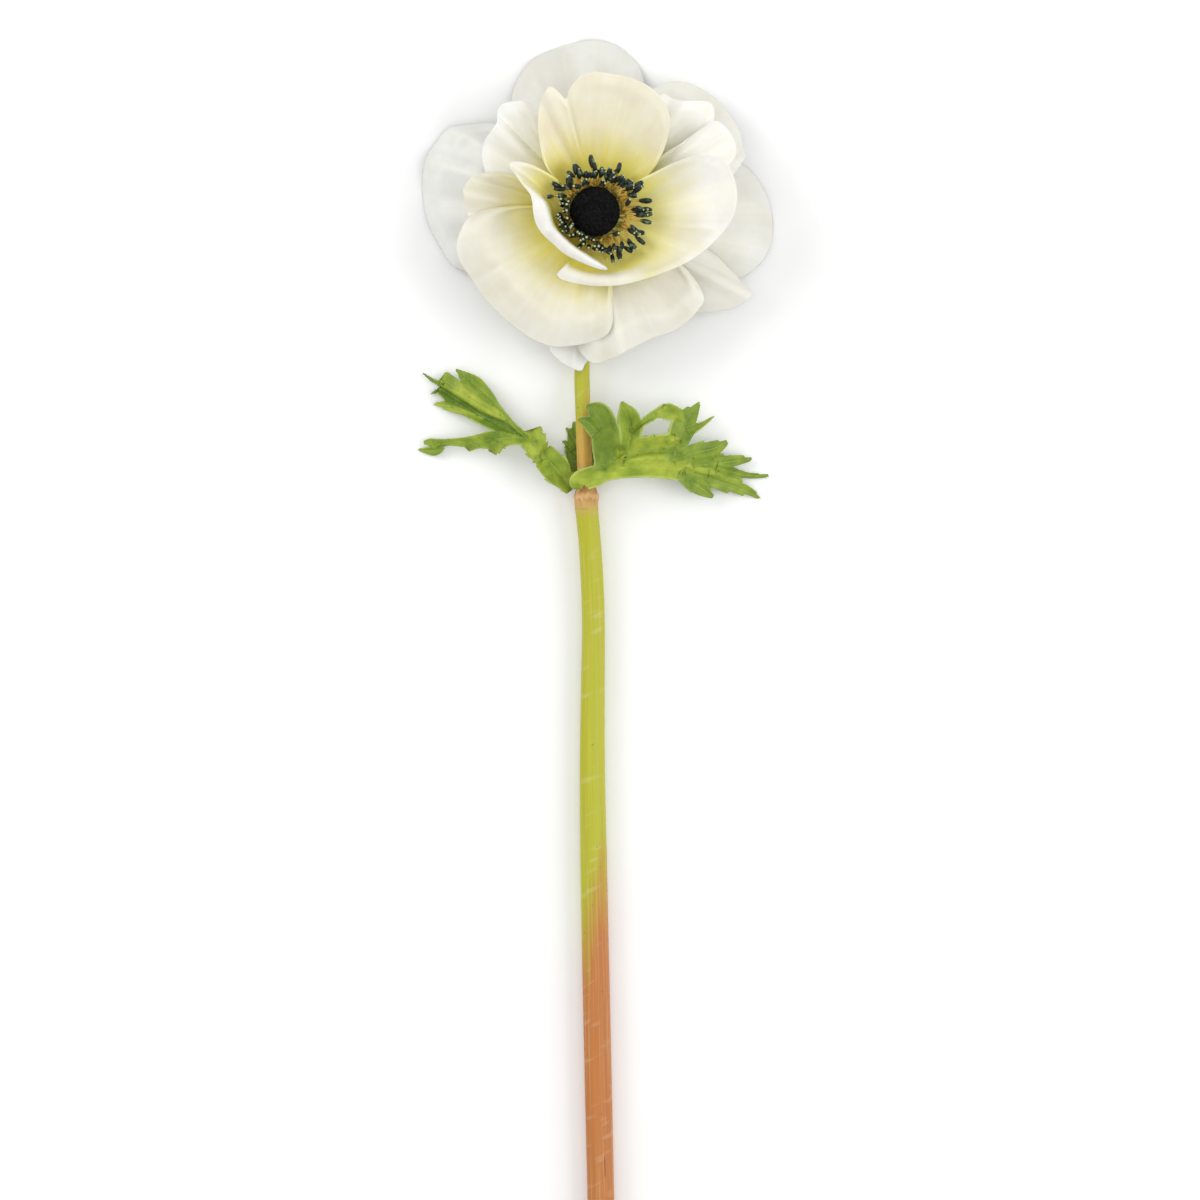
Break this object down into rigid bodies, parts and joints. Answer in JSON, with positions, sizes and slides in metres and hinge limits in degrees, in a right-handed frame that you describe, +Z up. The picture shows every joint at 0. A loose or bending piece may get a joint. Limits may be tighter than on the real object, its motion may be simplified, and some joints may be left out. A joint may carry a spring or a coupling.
{
  "type": "cut anemone",
  "caption": "Single cut anemone, semi-double with cream-white petals round a black centre, a leafy collar and a long bare stem, lying on its side with its face up.",
  "frame": {"origin": "on the surface the flower lies on, under the middle of the whole flower", "axes": "+Z up, which is the way the flower's face looks; +Y along the stem towards the flower head; +X to the right of the head as it is looked down on"},
  "size_m": [0.0894, 0.3332, 0.0293],
  "materials": {
    "petal": "soft satin cream white, yellow-green at the base, thin and slightly see-through",
    "stem": "satin yellow-green skin with fine lengthwise ridges, salmon brown towards the cut end",
    "collar": "matt pinkish orange with a ragged rim",
    "receptacle": "matt yellow green",
    "dome": "velvety near black",
    "stamen": "dark blue-green anthers with a grey-green bloom on ochre filaments",
    "leaf": "satin mid green with lighter edges and veins"
  },
  "bodies": {
    "root": {"lower_stem": "stem", "leaf_collar": "collar", "upper_stem": "stem", "receptacle": "receptacle", "pistil_dome": "dome", "petal_top_outer": "petal", "petal_left_outer": "petal", "petal_right_outer": "petal", "petal_bottom_back": "petal", "petal_upper_right_outer": "petal", "petal_lower_right_outer": "petal", "petal_upper_left_inner": "petal", "petal_bottom_right": "petal", "petal_left_inner": "petal", "petal_upper_right_middle": "petal", "petal_upper_right_inner": "petal", "petal_lower_left_outer": "petal", "petal_top_inner": "petal", "petal_right_inner": "petal", "petal_lower_left_inner": "petal", "stamen_01": "stamen", "stamen_02": "stamen", "stamen_03": "stamen", "stamen_04": "stamen", "stamen_05": "stamen", "stamen_06": "stamen", "stamen_07": "stamen", "stamen_08": "stamen", "stamen_09": "stamen", "stamen_10": "stamen", "stamen_11": "stamen", "stamen_12": "stamen", "stamen_13": "stamen", "stamen_14": "stamen", "stamen_15": "stamen", "stamen_16": "stamen", "stamen_17": "stamen", "stamen_18": "stamen", "stamen_19": "stamen", "stamen_20": "stamen", "stamen_21": "stamen", "stamen_22": "stamen", "stamen_23": "stamen", "stamen_24": "stamen", "stamen_25": "stamen", "stamen_26": "stamen", "stamen_27": "stamen", "stamen_28": "stamen", "stamen_29": "stamen", "stamen_30": "stamen", "stamen_31": "stamen", "stamen_32": "stamen", "stamen_33": "stamen", "stamen_34": "stamen", "stamen_35": "stamen", "stamen_36": "stamen", "leaf_left": "leaf", "leaf_right": "leaf", "leaf_back": "leaf"}
  },
  "joints": []
}
